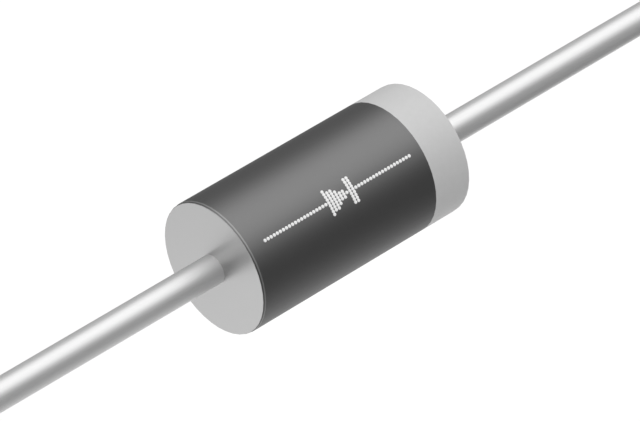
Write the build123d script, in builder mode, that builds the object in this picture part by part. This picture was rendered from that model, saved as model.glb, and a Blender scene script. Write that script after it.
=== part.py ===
from build123d import *
import math
import os

# An axial rectifier diode in a moulded case, in millimetres.
# The wires lie on X. The anode is at -X and the cathode, the banded end, at +X.
# The origin is the middle of the case, on the axis, and +Z is up.

# The moulded case. Its edges are eased, further along its side than across its ends
case_diameter = 3.5
case_length = 6.8
case_edge_length = 0.1
case_edge_depth = 0.025

# The ring of ink at the cathode end, which lies flush in the case
band_width = 1.135
ink_thickness = 0.03

# The wires: drawn copper, upset to a flat head at the die. Behind the head, a tapered neck
# anchors the wire in the case and ends where the wire comes out
wire_diameter = 0.76
wire_free_length = 26.0
wire_end_round = 0.06
head_diameter = 1.8
head_thickness = 0.3
head_rim_chamfer = 0.05
head_taper = 0.3
neck_diameter = 1.15

# The die: a square of silicon, with a mesa on its anode side and glass in the moat round it
die_side = 1.25
die_thickness = 0.26
moat_width = 0.11
mesa_height = 0.08
mesa_wall_slope = 20.0

# The solder discs stop short of the edge that they are laid on
solder_thickness = 0.05
solder_margin = 0.04

# The coating: white rubber round the die, which wraps the rims of both heads
coating_cover = 0.15
coating_wrap = 0.18

# Values that follow
case_radius = case_diameter / 2
case_end = case_length / 2
wire_radius = wire_diameter / 2
head_radius = head_diameter / 2
die_face = die_thickness / 2
head_face = die_face + solder_thickness
mesa_side = die_side - 2 * moat_width
anode_solder_diameter = mesa_side - 2 * solder_margin
cathode_solder_diameter = die_side - 2 * solder_margin
die_corner_radius = die_side / math.sqrt(2)
coating_radius = max(head_radius, die_corner_radius) + coating_cover
coating_end = head_face + coating_wrap

os.makedirs("parts", exist_ok=True)


def write(piece: BuildPart, name: str) -> None:
    """Label a finished piece and write it as a STEP file of the same name."""
    piece.part.label = name
    export_step(piece.part, f"parts/{name}.step")


# Half section of the cathode's wire, from its head to its free end.
with BuildSketch() as cathode_wire_section:
    rim_back = head_face + head_thickness
    neck_start = rim_back + head_taper
    free_end = case_end + wire_free_length
    with BuildLine():
        Polyline(
            (head_face, 0),
            (head_face, head_radius),
            (rim_back, head_radius),
            (neck_start, neck_diameter / 2),
            (case_end, wire_radius),
            (free_end, wire_radius),
            (free_end, 0),
            close=True,
        )
    make_face()
    rim_corners = cathode_wire_section.vertices().group_by(Axis.Y)[-1]
    chamfer(rim_corners, head_rim_chamfer)
    free_end_corner = cathode_wire_section.vertices().group_by(Axis.X)[-1].sort_by(Axis.Y)[-1]
    fillet(free_end_corner, wire_end_round)

# The anode's wire is the same, the other way round.
with BuildSketch() as anode_wire_section:
    mirror(cathode_wire_section.sketch, about=Plane.YZ)

# Half section of the whole case, as if it were solid and bare.
with BuildSketch() as case_outline:
    with BuildLine():
        edge_start = case_end - case_edge_length
        edge_foot = case_radius - case_edge_depth
        Line((0, case_radius), (edge_start, case_radius))
        EllipticalCenterArc((edge_start, edge_foot), case_edge_length, case_edge_depth, arc_size=90)
        Line((case_end, edge_foot), (case_end, 0))
        mirror(about=Plane.YZ)
        Line((-case_end, 0), (case_end, 0))
    make_face()

# Half section of the ink: it runs along the case and over its eased edge.
with BuildSketch() as band_section:
    add(case_outline.sketch)
    with Locations((case_end - band_width / 2, case_radius - ink_thickness / 2)):
        Rectangle(band_width, ink_thickness, mode=Mode.INTERSECT)

# Half section of the coating, as if nothing were inside it.
with BuildSketch() as coating_outline:
    with BuildLine():
        Polyline(
            (-coating_end, head_radius),
            (-coating_end, 0),
            (coating_end, 0),
            (coating_end, head_radius),
        )
        ThreePointArc(
            (coating_end, head_radius),
            (0, coating_radius),
            (-coating_end, head_radius),
        )
    make_face()

# The wires
with BuildPart() as cathode_lead:
    add(cathode_wire_section.sketch)
    revolve(axis=Axis.X)

with BuildPart() as anode_lead:
    add(anode_wire_section.sketch)
    revolve(axis=Axis.X)

# The die, built up along X from its wide cathode face to the top of its mesa.
anode_face_plane = Plane.YZ.offset(-die_face)
mesa_foot_plane = Plane.YZ.offset(-die_face + mesa_height)
with BuildPart() as silicon_die:
    with BuildSketch(mesa_foot_plane):
        Rectangle(die_side, die_side)
    extrude(amount=die_thickness - mesa_height)
    with BuildSketch(anode_face_plane):
        Rectangle(mesa_side, mesa_side)
    extrude(amount=mesa_height, taper=-mesa_wall_slope)

# The glass fills the moat, level with the top of the mesa.
with BuildPart() as passivation_glass:
    with BuildSketch(anode_face_plane):
        Rectangle(die_side, die_side)
    extrude(amount=mesa_height)
    add(silicon_die.part, mode=Mode.SUBTRACT)

# The solder between each face of the die and its head.
with BuildPart() as cathode_solder:
    with BuildSketch(Plane.YZ.offset(die_face)):
        Circle(cathode_solder_diameter / 2)
    extrude(amount=solder_thickness)

with BuildPart() as anode_solder:
    with BuildSketch(Plane.YZ.offset(-head_face)):
        Circle(anode_solder_diameter / 2)
    extrude(amount=solder_thickness)

# The coating fills all the room that is left round the die, between the heads.
with BuildPart() as junction_coating:
    with BuildSketch():
        add(coating_outline.sketch)
        add(cathode_wire_section.sketch, mode=Mode.SUBTRACT)
        add(anode_wire_section.sketch, mode=Mode.SUBTRACT)
    revolve(axis=Axis.X)
    for inner_piece in (silicon_die, passivation_glass, cathode_solder, anode_solder):
        add(inner_piece.part, mode=Mode.SUBTRACT)

# The case is moulded round all of it, so its inside is the outside of the wires and coating.
with BuildPart() as moulded_case:
    with BuildSketch():
        add(case_outline.sketch)
        add(band_section.sketch, mode=Mode.SUBTRACT)
        add(coating_outline.sketch, mode=Mode.SUBTRACT)
        add(cathode_wire_section.sketch, mode=Mode.SUBTRACT)
        add(anode_wire_section.sketch, mode=Mode.SUBTRACT)
    revolve(axis=Axis.X)

with BuildPart() as cathode_band:
    add(band_section.sketch)
    revolve(axis=Axis.X)

write(moulded_case, "moulded_case")
write(cathode_band, "cathode_band")
write(anode_lead, "anode_lead")
write(cathode_lead, "cathode_lead")
write(anode_solder, "anode_solder")
write(cathode_solder, "cathode_solder")
write(silicon_die, "silicon_die")
write(passivation_glass, "passivation_glass")
write(junction_coating, "junction_coating")
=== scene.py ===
"""The looks of an axial rectifier diode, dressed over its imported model.

The wires lie on X, the banded cathode end is at +X and +Z is up. Sizes are in millimetres and
angles in degrees, and are turned to metres and radians where Blender takes them.
"""

import logging
import math
from dataclasses import dataclass
from enum import Enum

import bmesh
import bpy
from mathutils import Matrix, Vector

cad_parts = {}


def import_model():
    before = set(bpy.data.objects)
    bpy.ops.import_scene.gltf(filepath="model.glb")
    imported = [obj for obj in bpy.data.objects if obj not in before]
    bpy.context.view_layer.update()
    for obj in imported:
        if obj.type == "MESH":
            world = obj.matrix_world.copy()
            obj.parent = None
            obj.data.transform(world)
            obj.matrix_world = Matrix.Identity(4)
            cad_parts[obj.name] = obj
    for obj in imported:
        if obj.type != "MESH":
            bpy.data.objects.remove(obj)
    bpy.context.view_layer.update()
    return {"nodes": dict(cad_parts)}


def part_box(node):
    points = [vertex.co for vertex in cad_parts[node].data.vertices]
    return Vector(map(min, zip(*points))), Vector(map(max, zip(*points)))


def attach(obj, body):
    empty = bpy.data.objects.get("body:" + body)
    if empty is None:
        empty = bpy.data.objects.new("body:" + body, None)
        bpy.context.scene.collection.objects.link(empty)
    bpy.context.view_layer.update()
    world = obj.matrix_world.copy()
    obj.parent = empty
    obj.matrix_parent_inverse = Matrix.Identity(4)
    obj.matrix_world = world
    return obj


MM = 0.001
BODY = "root"

# Blender's places of a colour Mix node's sockets, which share their names with hidden ones
MIX_FACTOR, MIX_A, MIX_B, MIX_RESULT = 0, 6, 7, 2

# What goes into a node's inputs, by name or place: an output is linked, a value is set
Sockets = dict[str | int, object]

log = logging.getLogger("diode")


class Node(Enum):
    """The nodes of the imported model."""

    CASE = "moulded_case"
    BAND = "cathode_band"
    ANODE_LEAD = "anode_lead"
    CATHODE_LEAD = "cathode_lead"
    ANODE_SOLDER = "anode_solder"
    CATHODE_SOLDER = "cathode_solder"
    DIE = "silicon_die"
    GLASS = "passivation_glass"
    COATING = "junction_coating"


class Slot(Enum):
    """The record's material slots that a new piece can take its finish from."""

    INK = "pale_grey_ink"


def linear(hex_colour: str) -> tuple[float, float, float, float]:
    """Turn an sRGB hex colour to the linear one that Blender takes.

    Args:
        hex_colour: the colour, as in "#A0A0A0".

    Returns:
        Red, green, blue and an alpha of 1.
    """
    parts = [int(hex_colour[i : i + 2], 16) / 255 for i in (1, 3, 5)]
    red, green, blue = (p / 12.92 if p <= 0.04045 else ((p + 0.055) / 1.055) ** 2.4 for p in parts)
    return red, green, blue, 1.0


def add_node(
    tree: bpy.types.NodeTree, kind: str, sockets: Sockets | None = None, **settings: object
) -> bpy.types.Node:
    """Add a node, with its settings and links.

    Args:
        tree: the node tree that takes it.
        kind: Blender's name for the kind of node.
        sockets: what goes into its inputs.
        settings: the node's own settings.

    Returns:
        The new node.
    """
    node = tree.nodes.new(kind)
    for name, value in settings.items():
        setattr(node, name, value)
    for key, value in (sockets or {}).items():
        if isinstance(value, bpy.types.NodeSocket):
            tree.links.new(value, node.inputs[key])
        else:
            node.inputs[key].default_value = value
    return node


def new_material(name: str) -> bpy.types.Material:
    """Make a material with an empty node tree.

    Args:
        name: what the material is called.

    Returns:
        The material.
    """
    material = bpy.data.materials.new(name)
    material.use_nodes = True
    material.node_tree.nodes.clear()
    return material


def give(material: bpy.types.Material, *objects: bpy.types.Object) -> None:
    """Make a material the only one of each object.

    Args:
        material: the material.
        objects: what is made of it.
    """
    for obj in objects:
        obj.data.materials.clear()
        obj.data.materials.append(material)


def new_object(name: str, shape: bmesh.types.BMesh) -> bpy.types.Object:
    """Turn a finished shape, in millimetres, to an object in metres.

    Args:
        name: what the object is called.
        shape: the shape, which is used up.

    Returns:
        The object, linked to the scene.
    """
    bmesh.ops.scale(shape, vec=(MM, MM, MM), verts=shape.verts)
    mesh = bpy.data.meshes.new(name)
    shape.to_mesh(mesh)
    shape.free()
    obj = bpy.data.objects.new(name, mesh)
    bpy.context.scene.collection.objects.link(obj)
    return obj


@dataclass(frozen=True)
class Grain:
    """A fine random pattern on the surface of a piece.

    Attributes:
        size: how wide a grain is.
        stretch: how many times as long as wide it is, along the wires.
        octaves: how many finer layers it holds.
    """

    size: float
    stretch: float = 1.0
    octaves: float = 3.0

    def draw(self, tree: bpy.types.NodeTree) -> bpy.types.NodeSocket:
        """Add the pattern to a tree.

        Args:
            tree: the material's node tree.

        Returns:
            The pattern's value, from 0 to 1.
        """
        place = add_node(tree, "ShaderNodeTexCoord").outputs["Object"]
        across = 1 / (self.size * MM)
        scale = (across / self.stretch, across, across)
        scaled = add_node(tree, "ShaderNodeVectorMath", {0: place, 1: scale}, operation="MULTIPLY")
        noise = add_node(
            tree,
            "ShaderNodeTexNoise",
            {"Vector": scaled.outputs[0], "Scale": 1.0, "Detail": self.octaves},
        )
        return noise.outputs["Fac"]


@dataclass(frozen=True)
class Finish:
    """A finish whose colour and gloss vary a little with its grain.

    Attributes:
        name: what the material is called.
        colours: its colour where the grain is lowest, and where it is highest.
        roughness: how rough it is where the grain is lowest, and where it is highest.
        grain: the pattern.
        relief: how far the grain stands up.
        metallic: how much it mirrors like a metal, where 1 is a bare one.
        ior: the index of refraction. A metal keeps the default.
    """

    name: str
    colours: tuple[str, str]
    roughness: tuple[float, float]
    grain: Grain
    relief: float = 0.0
    metallic: float = 0.0
    ior: float = 1.5

    def material(self) -> bpy.types.Material:
        """Build the material.

        Returns:
            The material.
        """
        material = new_material(self.name)
        tree = material.node_tree
        grain = self.grain.draw(tree)
        sockets = self.sockets(tree, grain)
        if self.relief:
            bump = add_node(
                tree,
                "ShaderNodeBump",
                {"Height": grain, "Distance": self.relief * MM, "Strength": 1.0},
            )
            sockets["Normal"] = bump.outputs[0]
        shader = add_node(tree, "ShaderNodeBsdfPrincipled", sockets)
        add_node(tree, "ShaderNodeOutputMaterial", {"Surface": shader.outputs[0]})
        return material

    def sockets(self, tree: bpy.types.NodeTree, grain: bpy.types.NodeSocket) -> Sockets:
        """Work out what goes into the shader, apart from its normal.

        Args:
            tree: the material's node tree.
            grain: the pattern's value.

        Returns:
            An output or a value for each of the shader's sockets.
        """
        low, high = (linear(c) for c in self.colours)
        colour = add_node(
            tree, "ShaderNodeMix", {MIX_FACTOR: grain, MIX_A: low, MIX_B: high}, data_type="RGBA"
        )
        smooth, rough = self.roughness
        roughness = add_node(
            tree, "ShaderNodeMapRange", {"Value": grain, "To Min": smooth, "To Max": rough}
        )
        return {
            "Base Color": colour.outputs[MIX_RESULT],
            "Roughness": roughness.outputs[0],
            "Metallic": self.metallic,
            "IOR": self.ior,
        }


@dataclass(frozen=True, kw_only=True)
class EndedFinish(Finish):
    """A finish that gives way to another one, alike towards both ends of the part.

    Attributes:
        end_share: how much of the other finish shows, at places along X either way from the middle.
        end_colour: the colour of the other finish.
        end_roughness: how rough the other finish is.
        end_metallic: how much the other finish mirrors like a metal.
    """

    end_share: tuple[tuple[float, float], ...]
    end_colour: str
    end_roughness: float
    end_metallic: float

    def share(self, tree: bpy.types.NodeTree) -> bpy.types.NodeSocket:
        """Add the places of the other finish to a tree.

        Args:
            tree: the material's node tree.

        Returns:
            The share of the other finish, from 0 to 1.
        """
        place = add_node(tree, "ShaderNodeTexCoord").outputs["Object"]
        along = add_node(tree, "ShaderNodeSeparateXYZ", {0: place}).outputs["X"]
        reach = add_node(tree, "ShaderNodeMath", {0: along}, operation="ABSOLUTE").outputs[0]
        first, last = self.end_share[0][0], self.end_share[-1][0]
        span = {"Value": reach, "From Min": first * MM, "From Max": last * MM}
        step = add_node(tree, "ShaderNodeMapRange", span).outputs[0]
        ramp = add_node(tree, "ShaderNodeValToRGB", {0: step})
        stops = ramp.color_ramp.elements
        for x, _ in self.end_share[1:-1]:
            stops.new((x - first) / (last - first))
        for stop, (_, share) in zip(stops, self.end_share):
            stop.color = (share, share, share, 1)
        return ramp.outputs[0]

    def sockets(self, tree: bpy.types.NodeTree, grain: bpy.types.NodeSocket) -> Sockets:
        """Blend the other finish into what the plain one gives.

        Args:
            tree: the material's node tree.
            grain: the pattern's value.

        Returns:
            An output or a value for each of the shader's sockets.
        """
        plain = super().sockets(tree, grain)
        share = self.share(tree)
        colour = add_node(
            tree,
            "ShaderNodeMix",
            {MIX_FACTOR: share, MIX_A: plain["Base Color"], MIX_B: linear(self.end_colour)},
            data_type="RGBA",
        )
        roughness = add_node(
            tree,
            "ShaderNodeMapRange",
            {"Value": share, "To Min": plain["Roughness"], "To Max": self.end_roughness},
        )
        metallic = add_node(
            tree,
            "ShaderNodeMapRange",
            {"Value": share, "To Min": self.metallic, "To Max": self.end_metallic},
        )
        return plain | {
            "Base Color": colour.outputs[MIX_RESULT],
            "Roughness": roughness.outputs[0],
            "Metallic": metallic.outputs[0],
        }


# Where the pale finish of the case's ends shows: in a paler line along the eased edge, which is a
# painted highlight, and then on the whole flat end
EDGE_PAINTED_HIGHLIGHT = ((3.32, 0.0), (3.33, 0.36), (3.355, 0.36), (3.365, 0.0))
FLAT_END = ((3.39, 0.0), (3.399, 1.0))

# Black epoxy moulding compound, moulded under pressure in a polished tool: almost black, with a
# broad soft sheen, which a raised index of refraction matches. Its ends come out pale and mirror
# the wires softly, and a paler line along their edges is a painted highlight. The grain is as wide
# as the coarsest of its filler
MOULDED_EPOXY = EndedFinish(
    name="black_epoxy_transfer_moulded",
    colours=("#131313", "#191919"),
    roughness=(0.44, 0.5),
    grain=Grain(size=0.08),
    relief=0.0004,
    ior=2.3,
    end_share=EDGE_PAINTED_HIGHLIGHT + FLAT_END,
    end_colour="#C9C9C9",
    end_roughness=0.35,
    end_metallic=0.95,
)

# Pale grey ink, rolled on and baked: smooth and almost flat, a little mottled
ROLLED_INK = Finish(
    name="pale_grey_ink_rolled_and_baked",
    colours=("#CBCBCB", "#D1D1D1"),
    roughness=(0.41, 0.49),
    grain=Grain(size=0.15),
    relief=0.0003,
    ior=1.45,
)

# White ink, sprayed on dot by dot: bright and flat
SPRAYED_INK = Finish(
    name="white_ink_sprayed_dots",
    colours=("#F8F8F8", "#FFFFFF"),
    roughness=(0.5, 0.6),
    grain=Grain(size=0.02),
)

# Painted light at the foot of each wire, paler and duller, which makes up for the darker
# reflections near the case: it fades out over the first millimetre from the case
TIN_FOOT_PAINTED_LIGHT = ((3.4, 1.0), (4.4, 0.0))

# Tinned copper, drawn and then dipped in bright tin: a satin mirror, softer than a bare metal,
# with fine streaks along it that are drawn wide enough to show. Where it leaves the case, it is
# painted paler and duller: painted light that lifts its darker reflections there
DIPPED_TIN = EndedFinish(
    name="tinned_copper_drawn_and_dipped",
    colours=("#D7D7D7", "#DFDFDF"),
    roughness=(0.4, 0.46),
    grain=Grain(size=0.03, stretch=40.0),
    relief=0.0002,
    metallic=0.6,
    end_share=TIN_FOOT_PAINTED_LIGHT,
    end_colour="#E4E4E4",
    end_roughness=0.5,
    end_metallic=0.48,
)

# Soft solder, reflowed: a bright metal with a slightly grainy skin
REFLOWED_SOLDER = Finish(
    name="soft_solder_reflowed",
    colours=("#A9A9A6", "#BEBEBA"),
    roughness=(0.25, 0.4),
    grain=Grain(size=0.04),
    relief=0.001,
    metallic=1.0,
)

# Silicon, sawn and etched: a dark, bluish grey that is almost a mirror
ETCHED_SILICON = Finish(
    name="silicon_sawn_and_etched",
    colours=("#3C3E44", "#474A51"),
    roughness=(0.12, 0.25),
    grain=Grain(size=0.03),
    metallic=0.6,
)

# Glass, fired from powder in the moat: milky and smooth, with small bubbles
FIRED_GLASS = Finish(
    name="passivation_glass_fired",
    colours=("#C9D3CF", "#DDE5E1"),
    roughness=(0.08, 0.16),
    grain=Grain(size=0.02),
    ior=1.6,
)

# Silicone rubber, cured in place: white, soft and dull
CURED_SILICONE = Finish(
    name="white_silicone_cured",
    colours=("#DCDCD8", "#E9E9E6"),
    roughness=(0.55, 0.7),
    grain=Grain(size=0.05),
    relief=0.002,
    ior=1.41,
)


@dataclass
class Package:
    """The moulded case and the ring of ink at its cathode end.

    Attributes:
        nodes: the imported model's objects, by the names of their nodes.
    """

    nodes: dict[str, bpy.types.Object]

    def dress(self) -> None:
        """Give the case and the ring their finishes."""
        give(MOULDED_EPOXY.material(), self.nodes[Node.CASE.value])
        give(ROLLED_INK.material(), self.nodes[Node.BAND.value])
        log.info("dressed the case and its ring")


@dataclass
class Wires:
    """The two wires, each with the head that it is upset to.

    Attributes:
        nodes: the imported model's objects, by the names of their nodes.
    """

    nodes: dict[str, bpy.types.Object]

    def dress(self) -> None:
        """Give both wires their finish."""
        tin = DIPPED_TIN.material()
        give(tin, self.nodes[Node.ANODE_LEAD.value], self.nodes[Node.CATHODE_LEAD.value])
        log.info("dressed the wires")


@dataclass
class Junction:
    """What is sealed in the case: the die, its glass, the solder and the coating.

    Attributes:
        nodes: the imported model's objects, by the names of their nodes.
    """

    nodes: dict[str, bpy.types.Object]

    def dress(self) -> None:
        """Give each sealed piece its finish."""
        give(ETCHED_SILICON.material(), self.nodes[Node.DIE.value])
        give(FIRED_GLASS.material(), self.nodes[Node.GLASS.value])
        give(CURED_SILICONE.material(), self.nodes[Node.COATING.value])
        solder = REFLOWED_SOLDER.material()
        give(solder, self.nodes[Node.ANODE_SOLDER.value], self.nodes[Node.CATHODE_SOLDER.value])
        log.info("dressed the sealed pieces")


@dataclass
class DottedSymbol:
    """The circuit symbol of a diode in dots of white ink, on the side of the case.

    Attributes:
        case_radius: the radius that the dots sit on.
        middle: where the middle of the symbol is, along X.
        angle: how far the symbol is turned from the top, towards the front.
        pitch: how far apart the dots are along the case, and round it.
        dot_radius: the radius of a dot at its foot.
        ink_height: how far a dot stands up.
        ink_root: how far a dot's foot lies under the surface.
        shoulder: how wide and how high a dot's rounded shoulder is, as shares of the whole dot.
        crown: the same for its flat top.
        sides: how many sides a dot has.
        half_columns: how many columns of dots reach from the middle to each end.
        half_rows: how many rows of dots reach from the middle to each edge.
        bar_columns: how thick the bar is, in columns.
    """

    case_radius: float
    middle: float = -0.49
    angle: float = 43.6
    pitch: tuple[float, float] = (0.098, 0.0765)
    dot_radius: float = 0.047
    ink_height: float = 0.006
    ink_root: float = 0.006
    shoulder: tuple[float, float] = (0.9, 0.6)
    crown: tuple[float, float] = (0.55, 1.0)
    sides: int = 12
    half_columns: int = 24
    half_rows: int = 4
    bar_columns: int = 2

    def pattern(self) -> list[tuple[int, int]]:
        """Work out where the dots are.

        Returns:
            The column and the row of every dot, counted from the middle of the symbol.
        """
        rows = range(-self.half_rows, self.half_rows + 1)
        tip = self.half_rows - 1
        bar_end = tip + self.bar_columns
        triangle = [
            (column, row)
            for column in range(-tip, tip + 1)
            for row in rows
            if abs(row) <= round(self.half_rows * (tip - column) / (2 * tip))
        ]
        bar = [(column, row) for column in range(tip + 1, bar_end + 1) for row in rows]
        line = [
            (column, 0)
            for column in range(-self.half_columns, self.half_columns + 1)
            if not -tip <= column <= bar_end
        ]
        return triangle + bar + line

    def add_dot(self, shape: bmesh.types.BMesh, column: int, row: int) -> None:
        """Add one low, rounded dot to the shape.

        Args:
            shape: what takes the dot.
            column: the dot's column.
            row: the dot's row.
        """
        x = self.middle + column * self.pitch[0]
        turn = math.radians(self.angle) - row * self.pitch[1] / self.case_radius
        foot = (1.0, -self.ink_root)
        above = [(spread, share * self.ink_height) for spread, share in (self.shoulder, self.crown)]
        rings = []
        for spread, height in [foot] + above:
            ring = []
            for k in range(self.sides):
                around = math.tau * k / self.sides
                bend = turn + spread * self.dot_radius * math.sin(around) / self.case_radius
                reach = self.case_radius + height
                along = x + spread * self.dot_radius * math.cos(around)
                place = (along, -reach * math.sin(bend), reach * math.cos(bend))
                ring.append(shape.verts.new(place))
            rings.append(ring)
        for outer, inner in zip(rings, rings[1:]):
            for k in range(self.sides):
                following = (k + 1) % self.sides
                shape.faces.new((outer[k], outer[following], inner[following], inner[k]))
        shape.faces.new(rings[-1])
        shape.faces.new(reversed(rings[0]))

    def build(self) -> None:
        """Build the whole symbol as one piece of print."""
        dots = self.pattern()
        shape = bmesh.new()
        for column, row in dots:
            self.add_dot(shape, column, row)
        bmesh.ops.recalc_face_normals(shape, faces=shape.faces)
        symbol = new_object("circuit_symbol_print", shape)
        symbol.data.shade_smooth()
        give(SPRAYED_INK.material(), symbol)
        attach(symbol, BODY)
        log.info("printed the symbol with %d dots", len(dots))


@dataclass(frozen=True)
class Flag:
    """A curved grey card beside the object, which only reflections see. It darkens edges.

    Its angles are counted from the top, over the front.

    Attributes:
        name: what the card is called.
        grey: its colour.
        angles: where it starts, where it is full, where it is no longer full and where it stops.
        reach: the same four places along X.
        radius: how far it stands off.
        steps: how many flat strips it is made of.
    """

    name: str
    grey: str
    angles: tuple[float, float, float, float]
    reach: tuple[float, float, float, float] = (-300.0, -290.0, 290.0, 300.0)
    radius: float = 50.0
    steps: int = 24

    def build(self) -> None:
        """Build the card and hide it from everything but reflections."""
        start, stop = self.angles[0], self.angles[-1]
        middle = (start + stop) / 2
        shape = bmesh.new()
        edges = []
        for k in range(self.steps + 1):
            turn = math.radians(start - middle + (stop - start) * k / self.steps)
            y, z = -self.radius * math.sin(turn), self.radius * math.cos(turn)
            edges.append([shape.verts.new((x, y, z)) for x in (self.reach[0], self.reach[-1])])
        for one, other in zip(edges, edges[1:]):
            shape.faces.new((one[0], one[1], other[1], other[0]))
        card = new_object(self.name, shape)
        card.rotation_euler.x = math.radians(middle)
        give(self.material([math.radians(a - middle) for a in self.angles]), card)
        card.visible_camera = card.visible_diffuse = card.visible_shadow = False
        card.visible_transmission = card.visible_volume_scatter = False

    def material(self, angles: list[float]) -> bpy.types.Material:
        """Build a grey glow that fades out towards every edge of the card.

        Args:
            angles: the four angles in radians, from the middle of the card.

        Returns:
            The material.
        """
        material = new_material(self.name + "_scrim")
        material.cycles.emission_sampling = "NONE"
        tree = material.node_tree
        place = add_node(tree, "ShaderNodeTexCoord").outputs["Object"]
        parts = add_node(tree, "ShaderNodeSeparateXYZ", {0: place}).outputs
        front = add_node(tree, "ShaderNodeMath", {0: parts["Y"], 1: -1.0}, operation="MULTIPLY")
        sides = {0: front.outputs[0], 1: parts["Z"]}
        angle = add_node(tree, "ShaderNodeMath", sides, operation="ARCTAN2").outputs[0]
        reach = [x * MM for x in self.reach]
        density = 1.0
        for value, (start, full, fading, stop) in ((angle, angles), (parts["X"], reach)):
            for clear_at, full_at in ((start, full), (stop, fading)):
                fade = add_node(
                    tree,
                    "ShaderNodeMapRange",
                    {"Value": value, "From Min": clear_at, "From Max": full_at},
                    interpolation_type="SMOOTHSTEP",
                )
                both = {0: fade.outputs[0], 1: density}
                density = add_node(tree, "ShaderNodeMath", both, operation="MULTIPLY").outputs[0]
        clear = add_node(tree, "ShaderNodeBsdfTransparent").outputs[0]
        light = {"Color": linear(self.grey), "Strength": 1.0}
        glow = add_node(tree, "ShaderNodeEmission", light).outputs[0]
        mixed = add_node(tree, "ShaderNodeMixShader", {0: density, 1: clear, 2: glow})
        add_node(tree, "ShaderNodeOutputMaterial", {"Surface": mixed.outputs[0]})
        return material


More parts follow.
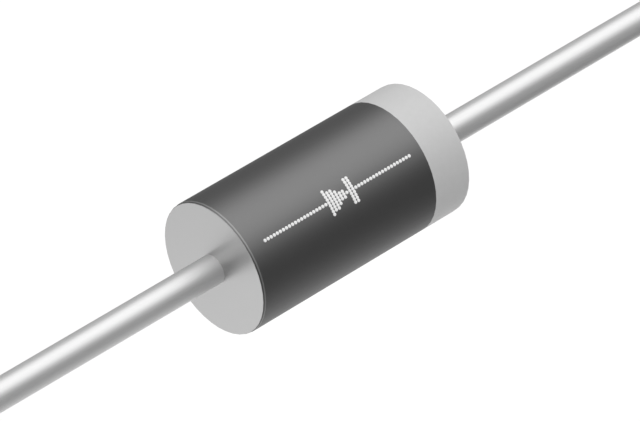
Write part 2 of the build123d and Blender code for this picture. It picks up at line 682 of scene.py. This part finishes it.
@dataclass(frozen=True)
class Studio:
    """A white floor and surround, one broad softbox overhead and the flags.

    Attributes:
        floor_drop: how far the floor lies under the axis of the object.
        floor_size: how wide the floor is.
        floor_colour: what the floor bounces onto the object.
        floor_shade: how much of the light on the floor the eye sees.
        floor_glow: how much white of its own the eye sees.
        softbox_height: how high the softbox hangs.
        softbox_width: how wide it is, across the wires.
        softbox_reach: where it starts and stops, along the wires.
        softbox_strength: how bright it is, where 1 is white.
        surround_strength: how bright the surround lights the object.
        flags: the cards beside the object.
    """

    floor_drop: float = 60.0
    floor_size: float = 8000.0
    floor_colour: str = "#E6E6E6"
    floor_shade: float = 0.3
    floor_glow: float = 0.76
    softbox_height: float = 300.0
    softbox_width: float = 385.0
    softbox_reach: tuple[float, float] = (-120.0, 500.0)
    softbox_strength: float = 1.78
    surround_strength: float = 0.5
    flags: tuple[Flag, ...] = (
        Flag(name="front_flag", grey="#727272", angles=(43.0, 65.0, 90.0, 205.0)),
        Flag(name="back_flag", grey="#929292", angles=(-145.0, -105.0, -52.0, -37.0)),
        Flag(
            name="camera_flag",
            grey="#080808",
            angles=(30.0, 50.0, 80.0, 105.0),
            reach=(-120.0, -80.0, -15.0, -5.0),
            radius=45.0,
        ),
        Flag(
            name="cathode_flag",
            grey="#5A5A5A",
            angles=(100.0, 128.0, 140.0, 190.0),
            reach=(6.0, 14.0, 290.0, 300.0),
            radius=12.0,
        ),
    )

    def build(self) -> None:
        """Build the floor, the softbox, the flags and the surround."""
        self.floor()
        self.softbox()
        for flag in self.flags:
            flag.build()
        self.surround()
        log.info("set up the studio")

    def plane(
        self, name: str, width: float, reach: tuple[float, float], height: float
    ) -> bpy.types.Object:
        """Build a flat rectangle that faces up.

        Args:
            name: what it is called.
            width: its size along Y.
            reach: where it starts and stops along X.
            height: how high it is.

        Returns:
            The rectangle.
        """
        start, stop = reach
        half = width / 2
        shape = bmesh.new()
        places = [(start, -half), (stop, -half), (stop, half), (start, half)]
        shape.faces.new([shape.verts.new((x, y, height)) for x, y in places])
        plane = new_object(name, shape)
        return plane

    def seen(self, tree: bpy.types.NodeTree) -> bpy.types.NodeSocket:
        """Tell the rays that show a backdrop, the camera's and those in metal and glass, apart.

        Args:
            tree: the node tree of the floor or of the surround.

        Returns:
            1 for these rays, and 0 for the ones that light the object.
        """
        path = add_node(tree, "ShaderNodeLightPath").outputs
        seen = path["Is Camera Ray"]
        for kind in ("Is Glossy Ray", "Is Transmission Ray"):
            either = {0: seen, 1: path[kind]}
            seen = add_node(tree, "ShaderNodeMath", either, operation="MAXIMUM").outputs[0]
        return seen

    def floor(self) -> None:
        """Lay a pale floor that looks white, keeps the shadow and is clear from below."""
        half = self.floor_size / 2
        floor = self.plane("floor", self.floor_size, (-half, half), -self.floor_drop)
        material = new_material("white_paper_floor")
        material.cycles.emission_sampling = "NONE"
        tree = material.node_tree
        colour = linear(self.floor_colour)
        paper = add_node(tree, "ShaderNodeBsdfDiffuse", {"Color": colour}).outputs[0]
        shade = (self.floor_shade, self.floor_shade, self.floor_shade, 1)
        shaded = add_node(tree, "ShaderNodeBsdfDiffuse", {"Color": shade}).outputs[0]
        own = add_node(tree, "ShaderNodeEmission", {"Strength": self.floor_glow}).outputs[0]
        white = add_node(tree, "ShaderNodeAddShader", {0: shaded, 1: own}).outputs[0]
        by_ray = {0: self.seen(tree), 1: paper, 2: white}
        top = add_node(tree, "ShaderNodeMixShader", by_ray).outputs[0]
        below = add_node(tree, "ShaderNodeNewGeometry").outputs["Backfacing"]
        clear = add_node(tree, "ShaderNodeBsdfTransparent").outputs[0]
        mixed = add_node(tree, "ShaderNodeMixShader", {0: below, 1: top, 2: clear})
        add_node(tree, "ShaderNodeOutputMaterial", {"Surface": mixed.outputs[0]})
        give(material, floor)

    def softbox(self) -> None:
        """Hang the softbox over the object, out of the camera's sight."""
        softbox = self.plane(
            "softbox", self.softbox_width, self.softbox_reach, self.softbox_height
        )
        material = new_material("softbox_cloth")
        tree = material.node_tree
        glow = add_node(tree, "ShaderNodeEmission", {"Strength": self.softbox_strength})
        add_node(tree, "ShaderNodeOutputMaterial", {"Surface": glow.outputs[0]})
        give(material, softbox)
        softbox.visible_camera = False

    def surround(self) -> None:
        """Make the surround white to look at, and gentler as a light."""
        world = bpy.data.worlds.new("surround")
        world.use_nodes = True
        world.cycles.sampling_method = "NONE"
        tree = world.node_tree
        tree.nodes.clear()
        white = linear("#FFFFFF")
        light, backdrop = (
            add_node(tree, "ShaderNodeBackground", {"Color": white, "Strength": s}).outputs[0]
            for s in (self.surround_strength, 1.0)
        )
        by_ray = {0: self.seen(tree), 1: light, 2: backdrop}
        mixed = add_node(tree, "ShaderNodeMixShader", by_ray)
        add_node(tree, "ShaderNodeOutputWorld", {"Surface": mixed.outputs[0]})
        bpy.context.scene.world = world


@dataclass(frozen=True)
class PhotoCamera:
    """The camera at the photograph's viewing angle.

    Attributes:
        azimuth: the way it looks from: 0 is the front, and a negative angle is towards the anode.
        elevation: how far above the horizon it stands.
        distance: how far from the middle of the case it stands.
        aim_right: how far to the right of the middle it looks.
        aim_up: how far above the middle it looks.
        lens: its focal length.
        sensor: the width of its sensor.
        nearest: how near a thing may be and still be seen.
        furthest: how far off a thing may be and still be seen.
    """

    azimuth: float = -43.31
    elevation: float = 38.555
    distance: float = 121.5
    aim_right: float = 0.046
    aim_up: float = -0.069
    lens: float = 284.21
    sensor: float = 36.0
    nearest: float = 10.0
    furthest: float = 10000.0

    def build(self) -> None:
        """Build the camera and make it the scene's."""
        turn, rise = math.radians(self.azimuth), math.radians(self.elevation)
        level = math.cos(rise)
        back = Vector((math.sin(turn) * level, -math.cos(turn) * level, math.sin(rise)))
        right = Vector((math.cos(turn), math.sin(turn), 0))
        up = back.cross(right)
        data = bpy.data.cameras.new("camera")
        data.lens, data.sensor_width = self.lens, self.sensor
        data.clip_start, data.clip_end = self.nearest * MM, self.furthest * MM
        camera = bpy.data.objects.new("camera", data)
        camera.location = (back * self.distance + right * self.aim_right + up * self.aim_up) * MM
        camera.rotation_euler = (-back).to_track_quat("-Z", "Y").to_euler()
        bpy.context.scene.collection.objects.link(camera)
        bpy.context.scene.camera = camera
        log.info("set the camera")


def main() -> None:
    """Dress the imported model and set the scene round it."""
    logging.basicConfig(level=logging.INFO, format="%(name)s: %(message)s")
    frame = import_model()
    nodes = frame["nodes"]
    Package(nodes).dress()
    Wires(nodes).dress()
    Junction(nodes).dress()
    _, case_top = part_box(Node.CASE.value)
    DottedSymbol(case_radius=case_top.y / MM).build()
    Studio().build()
    PhotoCamera().build()
    bpy.context.scene.view_settings.view_transform = "Standard"


if __name__ == "__main__":
    main()
